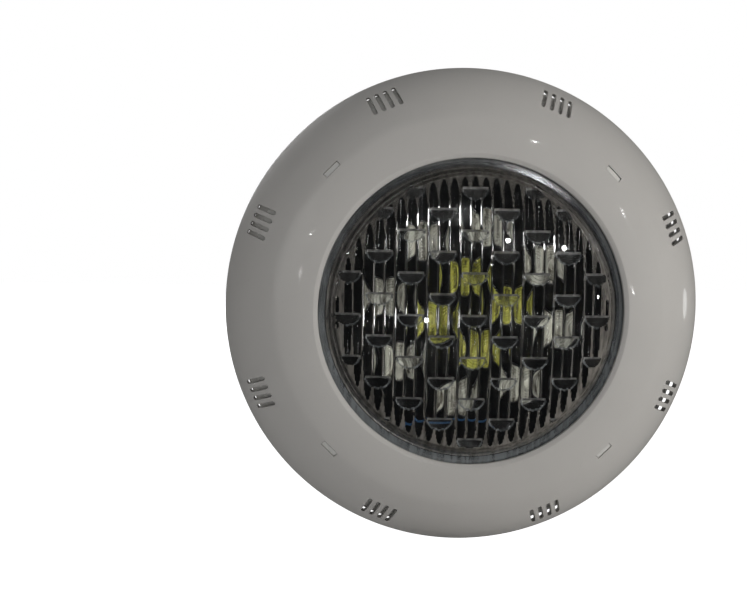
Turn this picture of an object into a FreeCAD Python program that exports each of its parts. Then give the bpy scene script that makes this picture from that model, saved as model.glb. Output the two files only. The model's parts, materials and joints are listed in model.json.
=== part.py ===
import FreeCAD, Part
import math
import os
import re

import Sketcher

# Surface-mounted underwater pool light, 270 mm across.
#
# Every piece is drawn with its axis along local +Z, z = 0 at the pool wall and
# z growing towards the water, local +Y up. ON_WALL then turns it so that the
# light faces -Y with +Z up, its origin at the centre of the wall face.

ON_WALL = FreeCAD.Placement(FreeCAD.Vector(), FreeCAD.Rotation(FreeCAD.Vector(1, 0, 0), 90))
FULL_TURN = 360.0

DIMENSIONS = [
    # wall plate
    ("plate_radius", 116.0), ("plate_thick", 3.5), ("plate_opening", 30.0),
    ("plate_rim_wide", 2.5), ("plate_rim_top", 5.2),
    ("rib_wide", 2.4), ("rib_inner", 36.0), ("rib_outer", 112.0), ("rib_count", 8),
    ("rib_turn", 22.5), ("collar_wide", 3.0),
    ("wall_hole_radius", 2.75), ("wall_hole_pitch", 80.0), ("wall_hole_count", 4),
    ("wall_hole_turn", 45.0), ("boss_radius", 6.5), ("boss_top", 6.0),
    # screws that hold the frame on the wall plate
    ("hold_pitch", 108.0), ("hold_count", 4), ("hold_turn", 20.0),
    ("hold_radius", 2.5), ("hold_hole", 2.75), ("hold_head", 4.75), ("hold_head_high", 3.5),
    ("hold_foot", 1.0), ("insert_radius", 3.6), ("insert_bore", 2.6), ("insert_foot", 0.5),
    ("washer_radius", 5.4), ("washer_thick", 0.8),
    # mounting frame
    ("trough_floor", 6.0), ("frame_skin", 2.5), ("trough_radius", 118.0),
    ("collar_inner", 84.0), ("collar_skin", 3.0), ("seat_top", 27.0), ("seat_thick", 4.0),
    ("seat_radius", 99.0), ("rim_top", 14.5), ("rim_top_radius", 122.5),
    ("rim_side_top", 8.5), ("rim_radius", 128.5), ("rim_foot", 1.0),
    ("post_radius", 4.2), ("post_foot", 13.0),
    ("drain_inner", 100.0), ("drain_outer", 114.0), ("drain_radius", 2.5), ("drain_turn", 67.5),
    # snap tongues and the windows they fill
    ("tongue_count", 4), ("tongue_turn", 45.0), ("tongue_inner", 103.5), ("tongue_outer", 106.1),
    ("tongue_wide", 9.4), ("tongue_inner_top", 37.5), ("tongue_outer_top", 35.7),
    ("window_inner", 102.9), ("window_outer", 106.7), ("window_wide", 10.6),
    # cover ring
    ("cover_radius", 135.0), ("cover_edge", 6.0), ("cover_edge_top", 7.5),
    ("cover_under_radius", 132.4), ("bevel_curve", 78.0), ("bevel_under_curve", 74.0),
    ("band_curve", 30.0),
    ("bevel_radius", 107.3), ("bevel_top", 35.6), ("bevel_under_radius", 105.6),
    ("bevel_under_top", 33.4), ("crease_radius", 102.3), ("crease_top", 38.2),
    ("crease_under_radius", 101.6), ("crease_under_top", 35.9), ("skirt_inner", 99.6),
    ("skirt_foot", 28.5), ("skirt_root", 36.8), ("crown_radius", 85.0), ("lip_radius", 83.0),
    ("lip_top", 42.5), ("lip_under", 39.9), ("opening_radius", 80.6), ("opening_top", 41.7),
    ("slot_inner", 115.7), ("slot_outer", 127.9), ("slot_wide", 2.4), ("slot_pitch", 4.9),
    ("slot_groups", 8), ("slot_turn", 22.5),
    # lens
    ("dome_top", 52.6), ("dome_edge_radius", 72.5), ("dome_edge_top", 47.2),
    ("lens_skin", 3.0), ("cone_foot_radius", 76.5), ("band_top", 39.5),
    ("band_radius", 82.5), ("flange_top", 34.5), ("flange_foot", 31.5), ("flange_radius", 90.0),
    ("dome_under_radius", 70.1), ("dome_under_top", 44.5), ("cone_under_radius", 73.9),
    # gasket, clamp ring and clamp screws
    ("gasket_inner", 82.5), ("gasket_outer", 89.5),
    ("clamp_inner", 83.3), ("clamp_outer", 98.0), ("clamp_step", 90.5),
    ("clamp_inner_top", 39.2), ("clamp_outer_top", 36.9),
    ("clamp_pitch", 94.5), ("clamp_count", 8), ("clamp_turn", 22.5), ("clamp_screw", 2.0),
    ("clamp_hole", 2.1), ("clamp_head", 3.9), ("clamp_head_top", 36.9), ("clamp_head_high", 2.0),
    ("clamp_screw_foot", 15.0),
    # rear shell
    ("shell_radius", 83.0), ("shell_inner", 80.0), ("shell_foot", 14.0), ("shell_floor", 16.5),
    ("shell_flange_top", 30.0), ("shell_flange_foot", 27.0), ("shell_corner", 5.0),
    ("shell_inner_corner", 2.5), ("gland_hole", 8.0),
    # LED stack
    ("spreader_radius", 78.5), ("spreader_foot", 29.4), ("board_foot", 31.4), ("board_top", 33.0),
    ("board_radius", 77.5), ("board_turn", -10.0), ("outer_led_pitch", 45.5),
    ("inner_led_pitch", 19.4), ("outer_led_count", 8), ("inner_led_count", 4),
    ("inner_led_turn", 12.5), ("stand_pitch", 74.0), ("stand_count", 6), ("stand_turn", 30.0),
    ("stand_flats", 5.5), ("stand_screw", 1.5), ("stand_hole", 1.6), ("stand_head", 3.0),
    ("stand_head_high", 1.4), ("stand_screw_long", 9.0),
    ("mask_foot", 34.6), ("mask_top", 36.1), ("mask_radius", 78.5), ("mask_hole", 11.0), ("mask_lead_hole", 1.7),
    ("lead_hole", 3.6), ("lead_turn", 240.0), ("lead_hole_pitch", 73.0),
    ("chip_half", 3.5), ("chip_top", 33.9), ("chip_dome", 2.6), ("chip_dome_top", 36.2),
    ("holder_base", 12.0), ("holder_radius", 10.8), ("holder_bore", 10.15), ("holder_top", 38.2),
    ("holder_floor", 34.2), ("holder_hole", 5.4),
    ("optic_radius", 10.0), ("optic_top", 39.0), ("optic_rim", 1.6), ("optic_neck", 9.3),
    ("optic_foot", 34.8), ("optic_foot_radius", 4.4), ("optic_well", 2.9), ("optic_well_top", 36.8),
    # driver board and its parts
    ("driver_inner", 17.0), ("driver_outer", 69.0), ("driver_foot", 19.5), ("driver_top", 21.1),
    ("spacer_pitch", 62.0), ("spacer_count", 4), ("spacer_turn", 45.0), ("spacer_radius", 3.0),
    ("spacer_hole", 1.6), ("driver_screw", 1.5), ("driver_head", 2.8), ("driver_head_high", 1.8),
    ("driver_screw_foot", 17.0),
    # cable gland
    ("gland_bore", 3.75), ("gland_thread", 7.8), ("gland_flats", 19.0), ("gland_hex_foot", 10.6),
    ("gland_top", 26.0), ("seal_foot", 6.4), ("nut_foot", 2.6), ("nut_flats", 21.0),
    ("nut_mouth", 4.4), ("nut_mouth_top", 5.0), ("gland_nose", 6.6), ("nut_bore", 6.75),
    ("oring_radius", 9.3), ("oring_section", 0.9), ("lock_flats", 19.0),
    ("lock_top", 20.6), ("seal_radius", 5.6), ("seal_top", 12.6), ("gland_throat", 4.2),
]

doc = FreeCAD.newDocument("pool_light")
sheet = doc.addObject("Spreadsheet::Sheet", "dims")
for row, (alias, number) in enumerate(DIMENSIONS, start=1):
    sheet.set("A%d" % row, alias)
    sheet.set("B%d" % row, str(number))
    sheet.setAlias("B%d" % row, alias)
doc.recompute()

ALIASES = {alias for alias, number in DIMENSIONS}


def bound(expression):
    """The expression as another object writes it, with each alias read from the sheet."""
    return re.sub(r"[a-z_]+", lambda word: "dims." + word.group() if word.group() in ALIASES
                  else word.group(), str(expression))


def size(expression):
    """The value of an expression over the sheet's aliases."""
    return float(sheet.evalExpression(str(expression)))


# ---------------------------------------------------------------- PartDesign helpers

def new_body(label):
    body = doc.addObject("PartDesign::Body", label)
    body.Label = label
    body.Placement = ON_WALL
    return body


def sketch_on(body, name, role, height=None, turn=None):
    """A sketch on one of the body's own origin planes, raised and turned about the axis."""
    sketch = body.newObject("Sketcher::SketchObject", name)
    plane = [item for item in body.Origin.OriginFeatures if item.Role == role][0]
    sketch.AttachmentSupport = [(plane, "")]
    sketch.MapMode = "FlatFace"
    if height is not None:
        sketch.setExpression("AttachmentOffset.Base.z", bound(height))
    if turn is not None:
        sketch.setExpression("AttachmentOffset.Rotation.Angle", bound(turn))
    doc.recompute()
    return sketch


def pin(sketch, geometry, corner, x, y):
    """Hold one point of a sketch at (x, y), both bound to the sheet."""
    for kind, axis, expression in (("DistanceX", -2, x), ("DistanceY", -1, y)):
        if abs(size(expression)) < 1e-9:
            sketch.addConstraint(Sketcher.Constraint("PointOnObject", geometry, corner, axis))
        else:
            number = sketch.addConstraint(
                Sketcher.Constraint(kind, -1, 1, geometry, corner, size(expression)))
            sketch.setExpression("Constraints[%d]" % number, bound(expression))


def outline(sketch, points):
    """A closed outline. A point is (x, y), or (x, y, radius, side) where the stretch that
    leaves it is an arc of that radius, bulging to the left (1) or right (-1) of its run.
    A radius of "axis" makes the arc a dome, with its centre on the line x = 0."""
    spots = [FreeCAD.Vector(size(point[0]), size(point[1]), 0) for point in points]
    pieces = []
    for index, point in enumerate(points):
        start, end = spots[index], spots[(index + 1) % len(spots)]
        if len(point) == 2:
            geometry = sketch.addGeometry(Part.LineSegment(start, end), False)
            pieces.append((geometry, 1, 2))
            continue
        run = end - start
        left = FreeCAD.Vector(-run.y, run.x, 0).normalize() * point[3]
        dome = point[2] == "axis"
        radius = run.Length ** 2 / (2 * abs(run.y)) if dome else size(point[2])
        bulge = radius - math.sqrt(radius ** 2 - (run.Length / 2) ** 2)
        middle = (start + end) * 0.5 + left * bulge
        geometry = sketch.addGeometry(Part.Arc(start, middle, end), False)
        forward = sketch.getPoint(geometry, 1).distanceToPoint(start) < 1e-6
        pieces.append((geometry, 1, 2) if forward else (geometry, 2, 1))
        if dome:
            sketch.addConstraint(Sketcher.Constraint("PointOnObject", geometry, 3, -2))
            continue
        number = sketch.addConstraint(Sketcher.Constraint("Radius", geometry, radius))
        sketch.setExpression("Constraints[%d]" % number, bound(point[2]))
    for index, point in enumerate(points):
        geometry, start_corner, end_corner = pieces[index]
        before = pieces[index - 1]
        sketch.addConstraint(
            Sketcher.Constraint("Coincident", before[0], before[2], geometry, start_corner))
        pin(sketch, geometry, start_corner, point[0], point[1])


def circle(sketch, x, y, radius):
    spot = FreeCAD.Vector(size(x), size(y), 0)
    geometry = sketch.addGeometry(Part.Circle(spot, FreeCAD.Vector(0, 0, 1), size(radius)), False)
    pin(sketch, geometry, 3, x, y)
    number = sketch.addConstraint(Sketcher.Constraint("Radius", geometry, size(radius)))
    sketch.setExpression("Constraints[%d]" % number, bound(radius))


def rectangle(sketch, inner, outer, wide):
    """A rectangle from inner to outer along x, with its width centred on y = 0."""
    half = "(%s) / 2" % wide
    outline(sketch, [(inner, "-" + half), (outer, "-" + half), (outer, half), (inner, half)])


def obround(sketch, inner, outer, middle, wide):
    """A round-ended slot from inner to outer along x, centred on y = middle."""
    half = "(%s) / 2" % wide
    low, high = "%s - %s" % (middle, half), "%s + %s" % (middle, half)
    near, far = "%s + %s" % (inner, half), "%s - %s" % (outer, half)
    bend = "%s * 1.0001" % half
    outline(sketch, [(near, low), (far, low, bend, -1), (far, high), (near, high, bend, -1)])


def revolve(body, name, points, cut=False):
    """A turned solid, or a groove, from an outline of (radius, z) points."""
    sketch = sketch_on(body, name + "_profile", "XZ_Plane")
    outline(sketch, points)
    kind = "PartDesign::Groove" if cut else "PartDesign::Revolution"
    turned = body.newObject(kind, name)
    turned.Profile = sketch
    turned.ReferenceAxis = (sketch, ["V_Axis"])
    turned.Angle = FULL_TURN
    body.Tip = turned
    sketch.Visibility = False
    return turned


def extrude(body, name, sketch, length, cut=False):
    """Pad upwards, or pocket downwards, from the sketch's plane."""
    feature = body.newObject("PartDesign::Pocket" if cut else "PartDesign::Pad", name)
    feature.Profile = sketch
    feature.setExpression("Length", bound(length))
    body.Tip = feature
    sketch.Visibility = False
    doc.recompute()
    return feature


def around(body, name, feature, sketch, count):
    """The feature repeated evenly about the light's axis."""
    pattern = body.newObject("PartDesign::PolarPattern", name)
    pattern.Originals = [feature]
    pattern.Axis = (sketch, ["N_Axis"])
    pattern.Angle = FULL_TURN
    pattern.setExpression("Occurrences", bound(count))
    body.Tip = pattern
    doc.recompute()
    return pattern


def holes(body, name, pitch, turn, count, radius, top, depth):
    """A ring of round holes cut down from height top."""
    sketch = sketch_on(body, name + "_sketch", "XY_Plane", top, turn)
    circle(sketch, pitch, 0, radius)
    cut = extrude(body, name, sketch, depth, cut=True)
    around(body, name + "_ring", cut, sketch, count)


def posts(body, name, pitch, turn, count, radius, foot, top):
    """A ring of round posts between two heights."""
    sketch = sketch_on(body, name + "_sketch", "XY_Plane", foot, turn)
    circle(sketch, pitch, 0, radius)
    pad = extrude(body, name, sketch, "%s - (%s)" % (top, foot))
    around(body, name + "_ring", pad, sketch, count)


# ---------------------------------------------------------------- Part helpers

UP = FreeCAD.Vector(0, 0, 1)


def cylinder(radius, foot, top):
    spot = FreeCAD.Vector(0, 0, size(foot))
    return Part.makeCylinder(size(radius), size("%s - (%s)" % (top, foot)), spot, UP)


def cone(foot_radius, top_radius, foot, top):
    spot = FreeCAD.Vector(0, 0, size(foot))
    height = size("%s - (%s)" % (top, foot))
    return Part.makeCone(size(foot_radius), size(top_radius), height, spot, UP)


def block(x, y, z, length, width, height):
    """A box centred on (x, y) that stands at height z."""
    return Part.makeBox(length, width, height, FreeCAD.Vector(x - length / 2, y - width / 2, z))


def hexagon(flats, foot, top):
    across = size(flats) / math.sqrt(3)
    corners = []
    for index in range(7):
        angle = math.radians(60 * index)
        corners.append(FreeCAD.Vector(across * math.cos(angle), across * math.sin(angle), size(foot)))
    face = Part.Face(Part.makePolygon(corners))
    return face.extrude(UP * size("%s - (%s)" % (top, foot)))


def polar(radius, degrees, height):
    angle = math.radians(degrees)
    return FreeCAD.Vector(radius * math.cos(angle), radius * math.sin(angle), height)


def ring_of(shape, pitch, count, turn):
    """Copies of a solid that stands on the axis, moved out to the pitch radius."""
    copies = []
    for index in range(int(size(count))):
        copy = shape.copy()
        copy.translate(FreeCAD.Vector(size(pitch), 0, 0))
        copy.rotate(FreeCAD.Vector(), UP, size(turn) + FULL_TURN / size(count) * index)
        copies.append(copy)
    return copies


def feature(label, shapes):
    """A node made of one solid, or of separate like solids."""
    item = doc.addObject("Part::Feature", label)
    item.Label = label
    item.Shape = shapes[0] if len(shapes) == 1 else Part.makeCompound(shapes)
    item.Placement = ON_WALL
    return item


def lead(points, radius):
    """A round wire along straight runs joined by tangent arcs."""
    edges = []
    start = points[0]
    for before, corner, after in zip(points, points[1:], points[2:]):
        back, ahead = before - corner, after - corner
        shorter = min(back.Length, ahead.Length)
        back.normalize()
        ahead.normalize()
        turn = math.pi - back.getAngle(ahead)
        reach = 0.45 * shorter
        bend = reach / math.tan(turn / 2)
        middle = (back + ahead).normalize() * (bend / math.cos(turn / 2) - bend)
        edges.append(Part.LineSegment(start, corner + back * reach).toShape())
        arc = Part.Arc(corner + back * reach, corner + middle, corner + ahead * reach)
        edges.append(arc.toShape())
        start = corner + ahead * reach
    edges.append(Part.LineSegment(start, points[-1]).toShape())
    path = Part.Wire(edges)
    section = Part.Wire([Part.makeCircle(radius, points[0], points[1] - points[0])])
    return path.makePipeShell([section], True, True)


def slotted(solid, top, reach, wide, deep):
    """Cut a cross recess into the top of a screw head."""
    for length, width in ((reach, wide), (wide, reach)):
        solid = solid.cut(block(0, 0, top - deep, length, width, deep + 1))
    return solid


# ---------------------------------------------------------------- on the wall

def make_wall_plate():
    body = new_body("wall_plate")
    revolve(body, "disc", [
        ("plate_opening", 0), ("plate_radius", 0), ("plate_radius", "plate_rim_top"),
        ("plate_radius - plate_rim_wide", "plate_rim_top"),
        ("plate_radius - plate_rim_wide", "plate_thick"),
        ("plate_opening + collar_wide", "plate_thick"),
        ("plate_opening + collar_wide", "plate_rim_top"), ("plate_opening", "plate_rim_top")])
    sketch = sketch_on(body, "rib_sketch", "XY_Plane", "plate_thick", "rib_turn")
    rectangle(sketch, "rib_inner - collar_wide - 1", "rib_outer + 2", "rib_wide")
    rib = extrude(body, "rib", sketch, "plate_rim_top - plate_thick")
    around(body, "ribs", rib, sketch, "rib_count")
    posts(body, "boss", "hold_pitch", "hold_turn", "hold_count", "boss_radius", 0, "boss_top")
    holes(body, "insert_hole", "hold_pitch", "hold_turn", "hold_count", "insert_radius",
          "boss_top", "boss_top - insert_foot")
    holes(body, "screw_exit", "hold_pitch", "hold_turn", "hold_count", "hold_hole",
          "boss_top", "boss_top + 1")
    posts(body, "wall_pad", "wall_hole_pitch", "wall_hole_turn", "wall_hole_count",
          "boss_radius", 0, "plate_rim_top")
    holes(body, "wall_hole", "wall_hole_pitch", "wall_hole_turn", "wall_hole_count",
          "wall_hole_radius", "plate_rim_top", "plate_rim_top + 1")


def make_plate_inserts():
    insert = cylinder("insert_radius", "insert_foot", "boss_top")
    insert = insert.cut(cylinder("insert_bore", 0, "boss_top + 1"))
    feature("plate_inserts", ring_of(insert, "hold_pitch", "hold_count", "hold_turn"))


# ---------------------------------------------------------------- mounting frame

def make_mounting_frame():
    body = new_body("mounting_frame")
    revolve(body, "tray", [
        ("collar_inner", "trough_floor"), ("trough_radius + frame_skin", "trough_floor"),
        ("trough_radius + frame_skin", "rim_top - frame_skin"),
        ("rim_top_radius - 1", "rim_top - frame_skin"),
        ("rim_radius - frame_skin", "rim_side_top - 1.5"), ("rim_radius - frame_skin", "rim_foot"),
        ("rim_radius", "rim_foot"), ("rim_radius", "rim_side_top"),
        ("rim_top_radius", "rim_top"), ("trough_radius", "rim_top"),
        ("trough_radius", "trough_floor + frame_skin"),
        ("collar_inner + collar_skin", "trough_floor + frame_skin"),
        ("collar_inner + collar_skin", "seat_top - seat_thick"),
        ("seat_radius", "seat_top - seat_thick"), ("seat_radius", "seat_top"),
        ("collar_inner", "seat_top")])
    posts(body, "screw_post", "clamp_pitch", "clamp_turn", "clamp_count", "post_radius",
          "post_foot", "seat_top - 1")
    holes(body, "clamp_bore", "clamp_pitch", "clamp_turn", "clamp_count", "clamp_hole",
          "seat_top", "seat_top - post_foot + 1")
    holes(body, "hold_bore", "hold_pitch", "hold_turn", "hold_count", "hold_hole",
          "trough_floor + frame_skin", "frame_skin + 1")
    sketch = sketch_on(body, "drain_sketch", "XY_Plane", "trough_floor + frame_skin", "drain_turn")
    obround(sketch, "drain_inner", "drain_outer", 0, "2 * drain_radius")
    drain = extrude(body, "drain", sketch, "frame_skin + 1", cut=True)
    around(body, "drains", drain, sketch, "hold_count")
    sketch = sketch_on(body, "arm_sketch", "XY_Plane", "seat_top - seat_thick", "tongue_turn")
    rectangle(sketch, "seat_radius - 3", "tongue_outer", "tongue_wide")
    arm = extrude(body, "arm", sketch, "seat_thick")
    around(body, "arms", arm, sketch, "tongue_count")
    sketch = sketch_on(body, "tongue_sketch", "XY_Plane", "seat_top - 1", "tongue_turn")
    rectangle(sketch, "tongue_inner", "tongue_outer", "tongue_wide")
    tongue = extrude(body, "tongue", sketch, "tongue_inner_top - seat_top + 1")
    around(body, "tongues", tongue, sketch, "tongue_count")
    revolve(body, "tongue_slope", [
        ("tongue_inner - 1", "tongue_inner_top + 0.7"), ("tongue_outer + 1", "tongue_outer_top - 0.7"),
        ("tongue_outer + 1", "tongue_inner_top + 2"), ("tongue_inner - 1", "tongue_inner_top + 2")],
        cut=True)


def make_hold_screws():
    head_foot = "trough_floor + frame_skin + washer_thick"
    screw = cylinder("hold_head", head_foot, head_foot + " + hold_head_high")
    screw = screw.makeFillet(1.2, [screw.Edges[0]])
    screw = screw.fuse(cylinder("hold_radius", "hold_foot", head_foot + " + 1"))
    screw = slotted(screw, size(head_foot + " + hold_head_high"), 5.2, 1.2, 2.0)
    feature("hold_screws", ring_of(screw, "hold_pitch", "hold_count", "hold_turn"))


def make_screw_washers():
    foot = "trough_floor + frame_skin"
    washer = cylinder("washer_radius", foot, foot + " + washer_thick")
    washer = washer.cut(cylinder("hold_hole", 0, foot + " + 5"))
    feature("screw_washers", ring_of(washer, "hold_pitch", "hold_count", "hold_turn"))


# ---------------------------------------------------------------- cover ring

def make_cover_ring():
    body = new_body("cover_ring")
    revolve(body, "dome", [
        ("cover_under_radius", "cover_edge"), ("cover_radius", "cover_edge"),
        ("cover_radius", "cover_edge_top", "bevel_curve", -1),
        ("bevel_radius", "bevel_top", "band_curve", -1),
        ("crease_radius", "crease_top", "crown_radius", -1), ("lip_radius", "lip_top"),
        ("opening_radius", "opening_top"), ("opening_radius", "lip_under"),
        ("lip_radius", "lip_under", "crown_radius", 1), ("skirt_inner", "skirt_root"),
        ("skirt_inner", "skirt_foot"), ("crease_under_radius", "skirt_foot"),
        ("crease_under_radius", "crease_under_top"),
        ("bevel_under_radius", "bevel_under_top", "bevel_under_curve", 1)])
    sketch = sketch_on(body, "slot_sketch", "XY_Plane", "bevel_top + 5", "slot_turn")
    for step in (-1.5, -0.5, 0.5, 1.5):
        obround(sketch, "slot_inner", "slot_outer", "slot_pitch * (%s)" % step, "slot_wide")
    slots = extrude(body, "slots", sketch, "bevel_top + 5", cut=True)
    around(body, "slot_groups", slots, sketch, "slot_groups")
    sketch = sketch_on(body, "window_sketch", "XY_Plane", "lip_top", "tongue_turn")
    rectangle(sketch, "window_inner", "window_outer", "window_wide")
    window = extrude(body, "window", sketch, "lip_top - skirt_foot", cut=True)
    around(body, "windows", window, sketch, "tongue_count")


# ---------------------------------------------------------------- sealed lamp

def make_lens():
    body = new_body("lens")
    revolve(body, "shell", [
        (0, "dome_top - lens_skin", "axis", 1), ("dome_under_radius", "dome_under_top"),
        ("cone_under_radius", "band_top - lens_skin"),
        ("band_radius - lens_skin", "band_top - lens_skin"),
        ("band_radius - lens_skin", "flange_foot"), ("flange_radius", "flange_foot"),
        ("flange_radius", "flange_top"), ("band_radius", "flange_top"),
        ("band_radius", "band_top"), ("cone_foot_radius", "band_top"),
        ("dome_edge_radius", "dome_edge_top", "axis", -1), (0, "dome_top")])


def make_lens_gasket():
    body = new_body("lens_gasket")
    revolve(body, "ring", [
        ("gasket_inner", "shell_flange_top"), ("gasket_outer", "shell_flange_top"),
        ("gasket_outer", "flange_foot"), ("gasket_inner", "flange_foot")])


def make_clamp_ring():
    body = new_body("clamp_ring")
    revolve(body, "ring", [
        ("clamp_step", "shell_flange_top"), ("clamp_outer", "shell_flange_top"),
        ("clamp_outer", "clamp_outer_top"), ("clamp_pitch - clamp_head", "clamp_outer_top"),
        ("clamp_inner", "clamp_inner_top"), ("clamp_inner", "flange_top"),
        ("clamp_step", "flange_top")])
    holes(body, "screw_hole", "clamp_pitch", "clamp_turn", "clamp_count", "clamp_hole",
          "clamp_inner_top", "clamp_inner_top - shell_flange_top + 1")
    holes(body, "head_recess", "clamp_pitch", "clamp_turn", "clamp_count", "clamp_head + 0.1",
          "clamp_inner_top", "clamp_inner_top - clamp_head_top + clamp_head_high")


def make_clamp_screws():
    head_foot = "clamp_head_top - clamp_head_high"
    screw = cylinder("clamp_head", head_foot, "clamp_head_top - 0.2")
    screw = screw.fuse(cylinder("clamp_screw", "clamp_screw_foot", head_foot + " + 1"))
    screw = slotted(screw, size("clamp_head_top - 0.2"), 4.4, 1.0, 1.4)
    feature("clamp_screws", ring_of(screw, "clamp_pitch", "clamp_count", "clamp_turn"))


def make_rear_shell():
    body = new_body("rear_shell")
    revolve(body, "cup", [
        ("gland_hole", "shell_foot"), ("shell_radius - shell_corner", "shell_foot"),
        ("shell_radius", "shell_foot + shell_corner"), ("shell_radius", "shell_flange_foot"),
        ("clamp_outer", "shell_flange_foot"), ("clamp_outer", "shell_flange_top"),
        ("shell_inner", "shell_flange_top"), ("shell_inner", "shell_floor + shell_inner_corner"),
        ("shell_inner - shell_inner_corner", "shell_floor"), ("gland_hole", "shell_floor")])
    holes(body, "clamp_bore", "clamp_pitch", "clamp_turn", "clamp_count", "clamp_hole",
          "shell_flange_top", "shell_flange_top - shell_flange_foot + 1")


# ---------------------------------------------------------------- LED stack

def make_heat_spreader():
    body = new_body("heat_spreader")
    sketch = sketch_on(body, "disc_sketch", "XY_Plane", "spreader_foot")
    circle(sketch, 0, 0, "spreader_radius")
    extrude(body, "disc", sketch, "board_foot - spreader_foot")
    holes(body, "screw_hole", "stand_pitch", "stand_turn", "stand_count", "stand_hole",
          "board_foot", "board_foot - spreader_foot + 1")
    sketch = sketch_on(body, "lead_sketch", "XY_Plane", "board_foot", "lead_turn")
    circle(sketch, "lead_hole_pitch", 0, "lead_hole")
    extrude(body, "lead_passage", sketch, "board_foot - spreader_foot + 1", cut=True)


def make_led_board():
    body = new_body("led_board")
    sketch = sketch_on(body, "disc_sketch", "XY_Plane", "board_foot")
    circle(sketch, 0, 0, "board_radius")
    extrude(body, "disc", sketch, "board_top - board_foot")
    holes(body, "screw_hole", "stand_pitch", "stand_turn", "stand_count", "stand_hole",
          "board_top", "board_top - board_foot + 1")
    sketch = sketch_on(body, "lead_sketch", "XY_Plane", "board_top", "lead_turn")
    circle(sketch, "lead_hole_pitch", 0, "lead_hole")
    extrude(body, "lead_passage", sketch, "board_top - board_foot + 1", cut=True)


def make_optic_mask():
    body = new_body("optic_mask")
    sketch = sketch_on(body, "disc_sketch", "XY_Plane", "mask_foot")
    circle(sketch, 0, 0, "mask_radius")
    extrude(body, "disc", sketch, "mask_top - mask_foot")
    holes(body, "outer_hole", "outer_led_pitch", "board_turn", "outer_led_count", "mask_hole",
          "mask_top", "mask_top - mask_foot + 1")
    holes(body, "inner_hole", "inner_led_pitch", "inner_led_turn", "inner_led_count",
          "mask_hole", "mask_top", "mask_top - mask_foot + 1")
    sketch = sketch_on(body, "lead_sketch", "XY_Plane", "mask_top", "lead_turn")
    circle(sketch, "lead_hole_pitch", 0, "mask_lead_hole")
    extrude(body, "lead_entry", sketch, "mask_top - mask_foot + 1", cut=True)
    sketch = sketch_on(body, "pad_sketch", "XY_Plane", "mask_top", "lead_turn + 44")
    circle(sketch, "lead_hole_pitch - 11", 0, "mask_lead_hole")
    extrude(body, "lead_exit", sketch, "mask_top - mask_foot + 1", cut=True)


def led_ring(label, shape, outer):
    if outer:
        copies = ring_of(shape, "outer_led_pitch", "outer_led_count", "board_turn")
    else:
        copies = ring_of(shape, "inner_led_pitch", "inner_led_count", "inner_led_turn")
    return feature(label, copies) if label else copies


def make_leds():
    side = 2 * size("chip_half")
    chip = block(0, 0, size("board_top"), side, side, size("chip_top - board_top"))
    dome = Part.makeSphere(size("chip_dome"), FreeCAD.Vector(0, 0, size("chip_dome_top - chip_dome")))
    low = size("chip_top - 0.1")
    dome = dome.common(block(0, 0, low, side, side, side))
    led = chip.fuse(dome)
    led_ring("colour_leds", led, True)
    led_ring("white_leds", led, False)


def make_optic_holders():
    holder = cylinder("holder_base", "board_top", "mask_foot")
    holder = holder.fuse(cylinder("holder_radius", "board_top", "holder_top"))
    holder = holder.cut(cylinder("holder_bore", "holder_floor", "holder_top + 1"))
    holder = holder.cut(cylinder("holder_hole", "board_top - 1", "holder_top"))
    feature("optic_holders", led_ring(None, holder, True) + led_ring(None, holder, False))


def make_optics():
    optic = cylinder("optic_radius", "optic_top - optic_rim", "optic_top")
    optic = optic.fuse(cone("optic_foot_radius", "optic_neck", "optic_foot", "optic_top - optic_rim"))
    optic = optic.cut(cylinder("optic_well", "optic_foot - 1", "optic_well_top"))
    led_ring("outer_optics", optic, True)
    led_ring("inner_optics", optic, False)


def make_standoffs():
    stand = hexagon("stand_flats", "shell_floor", "spreader_foot")
    stand = stand.cut(cylinder("stand_hole", "shell_floor + 3", "spreader_foot + 1"))
    feature("standoffs", ring_of(stand, "stand_pitch", "stand_count", "stand_turn"))


def make_board_screws():
    screw = cylinder("stand_head", "board_top", "board_top + stand_head_high")
    screw = screw.fuse(cylinder("stand_screw", "board_top - stand_screw_long", "board_top + 0.5"))
    screw = slotted(screw, size("board_top + stand_head_high"), 3.6, 0.8, 0.8)
    feature("board_screws", ring_of(screw, "stand_pitch", "stand_count", "stand_turn"))


# ---------------------------------------------------------------- driver

def make_driver_board():
    body = new_body("driver_board")
    sketch = sketch_on(body, "ring_sketch", "XY_Plane", "driver_foot")
    circle(sketch, 0, 0, "driver_outer")
    circle(sketch, 0, 0, "driver_inner")
    extrude(body, "ring", sketch, "driver_top - driver_foot")
    holes(body, "screw_hole", "spacer_pitch", "spacer_turn", "spacer_count", "spacer_hole",
          "driver_top", "driver_top - driver_foot + 1")


def make_driver_spacers():
    spacer = cylinder("spacer_radius", "shell_floor", "driver_foot")
    spacer = spacer.cut(cylinder("spacer_hole", "shell_floor + 0.3", "driver_foot + 1"))
    feature("driver_spacers", ring_of(spacer, "spacer_pitch", "spacer_count", "spacer_turn"))


def make_driver_screws():
    screw = cylinder("driver_head", "driver_top", "driver_top + driver_head_high")
    screw = screw.fuse(cylinder("driver_screw", "driver_screw_foot", "driver_top + 0.5"))
    screw = slotted(screw, size("driver_top + driver_head_high"), 3.4, 0.8, 1.0)
    feature("driver_screws", ring_of(screw, "spacer_pitch", "spacer_count", "spacer_turn"))


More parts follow.
